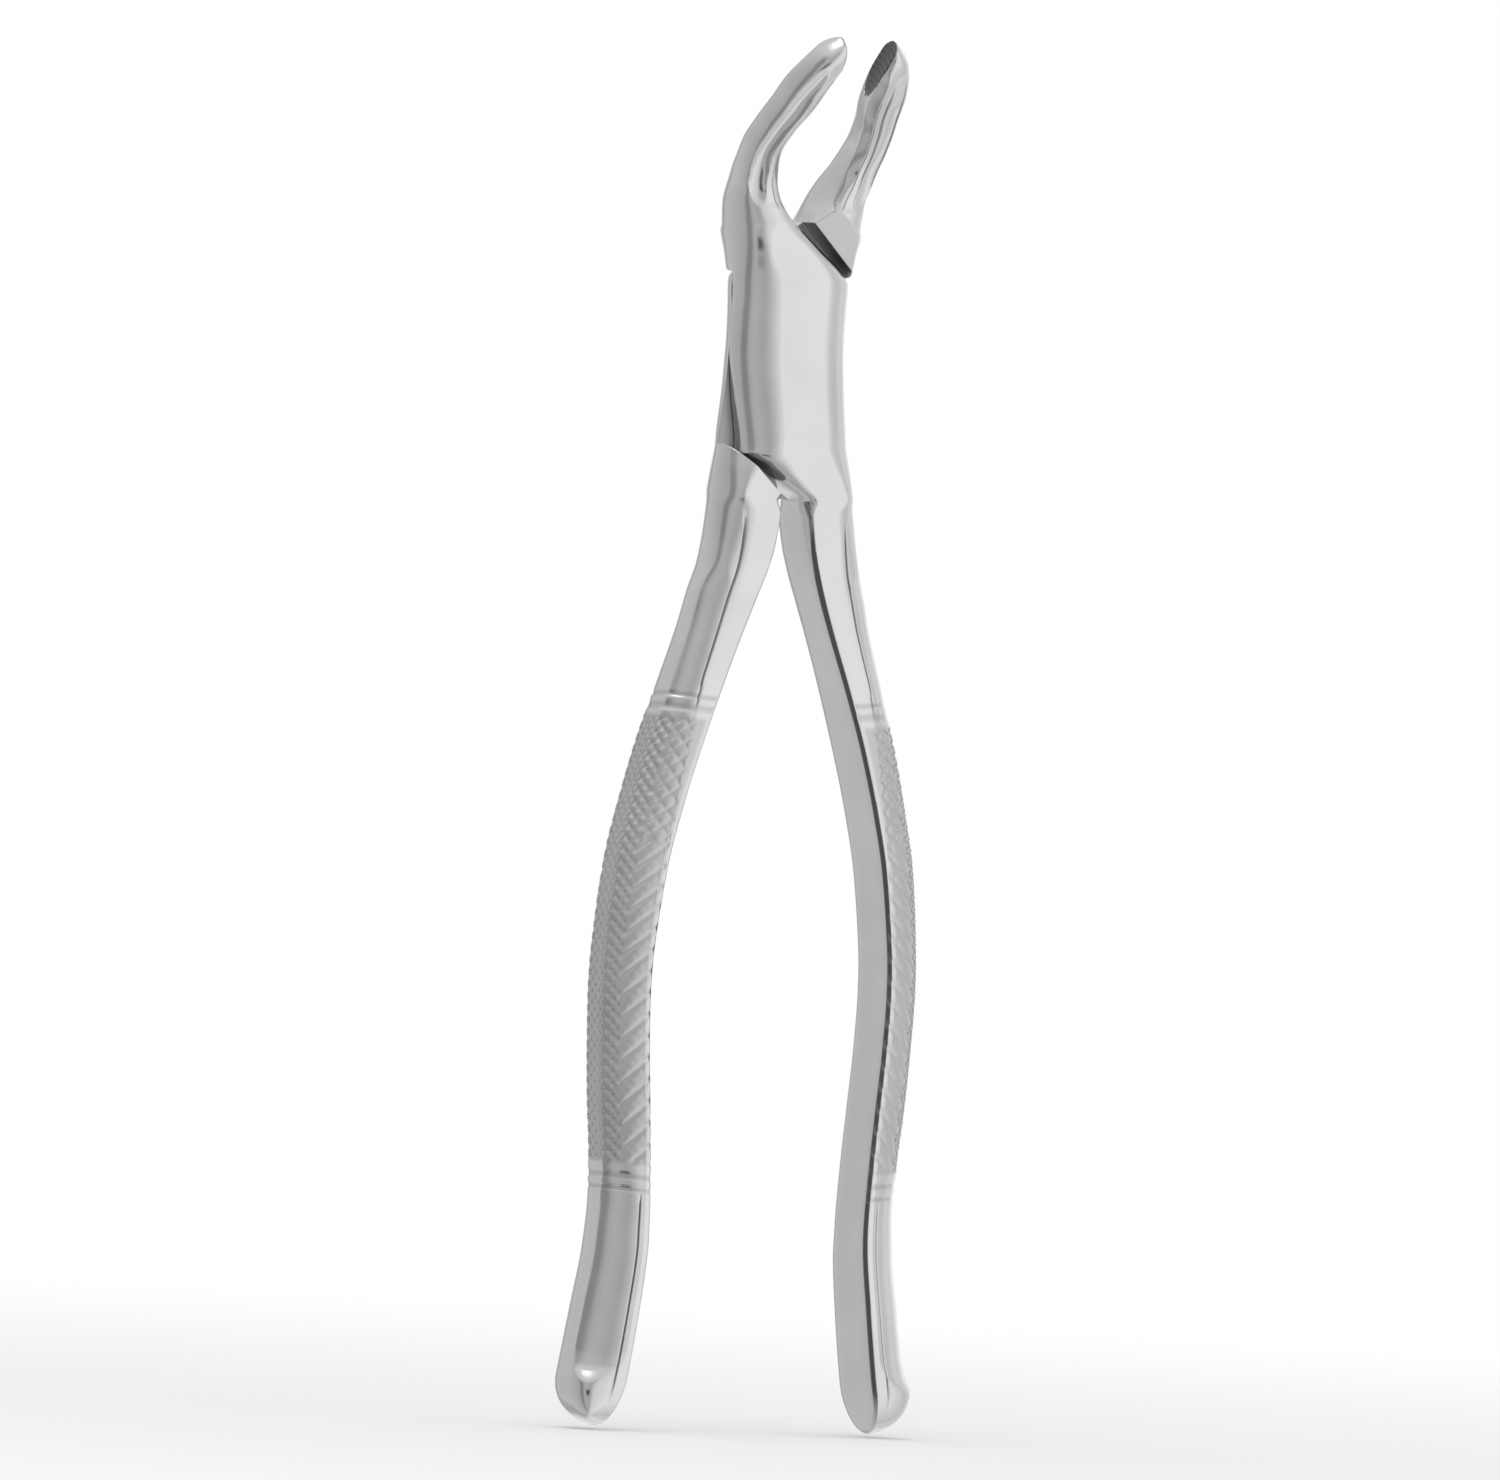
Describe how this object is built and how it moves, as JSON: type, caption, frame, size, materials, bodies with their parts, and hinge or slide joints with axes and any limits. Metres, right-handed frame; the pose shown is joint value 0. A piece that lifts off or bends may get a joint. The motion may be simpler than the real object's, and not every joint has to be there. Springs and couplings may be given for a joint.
{
  "type": "extraction forceps",
  "caption": "Dental extraction forceps with forward-leaning curved beaks for lower teeth, crossed levers on a screw pivot and bowed knurled handles.",
  "frame": {"origin": "on the pivot axis, at the flat rear face of the joint", "axes": "+Z runs along the instrument towards the beak tips, +Y is the pivot axis and points out of the rear face, and the levers open along X. The beaks lean towards -Y. The beak of the front lever is on the -X side and its handle on the +X side"},
  "size_m": [0.0498, 0.0214, 0.1752],
  "materials": {
    "polished_steel": "polished stainless steel",
    "screw_steel": "ground stainless steel"
  },
  "bodies": {
    "rear": {"rear_lever": "polished_steel"},
    "front": {"front_lever": "polished_steel", "pivot_screw": "screw_steel"}
  },
  "joints": [
    {"name": "pivot", "type": "hinge", "parent": "rear", "child": "front", "pos_m": [0, -0.0045, 0], "axis": [0, -1, 0], "range_deg": [-9, 61]}
  ]
}
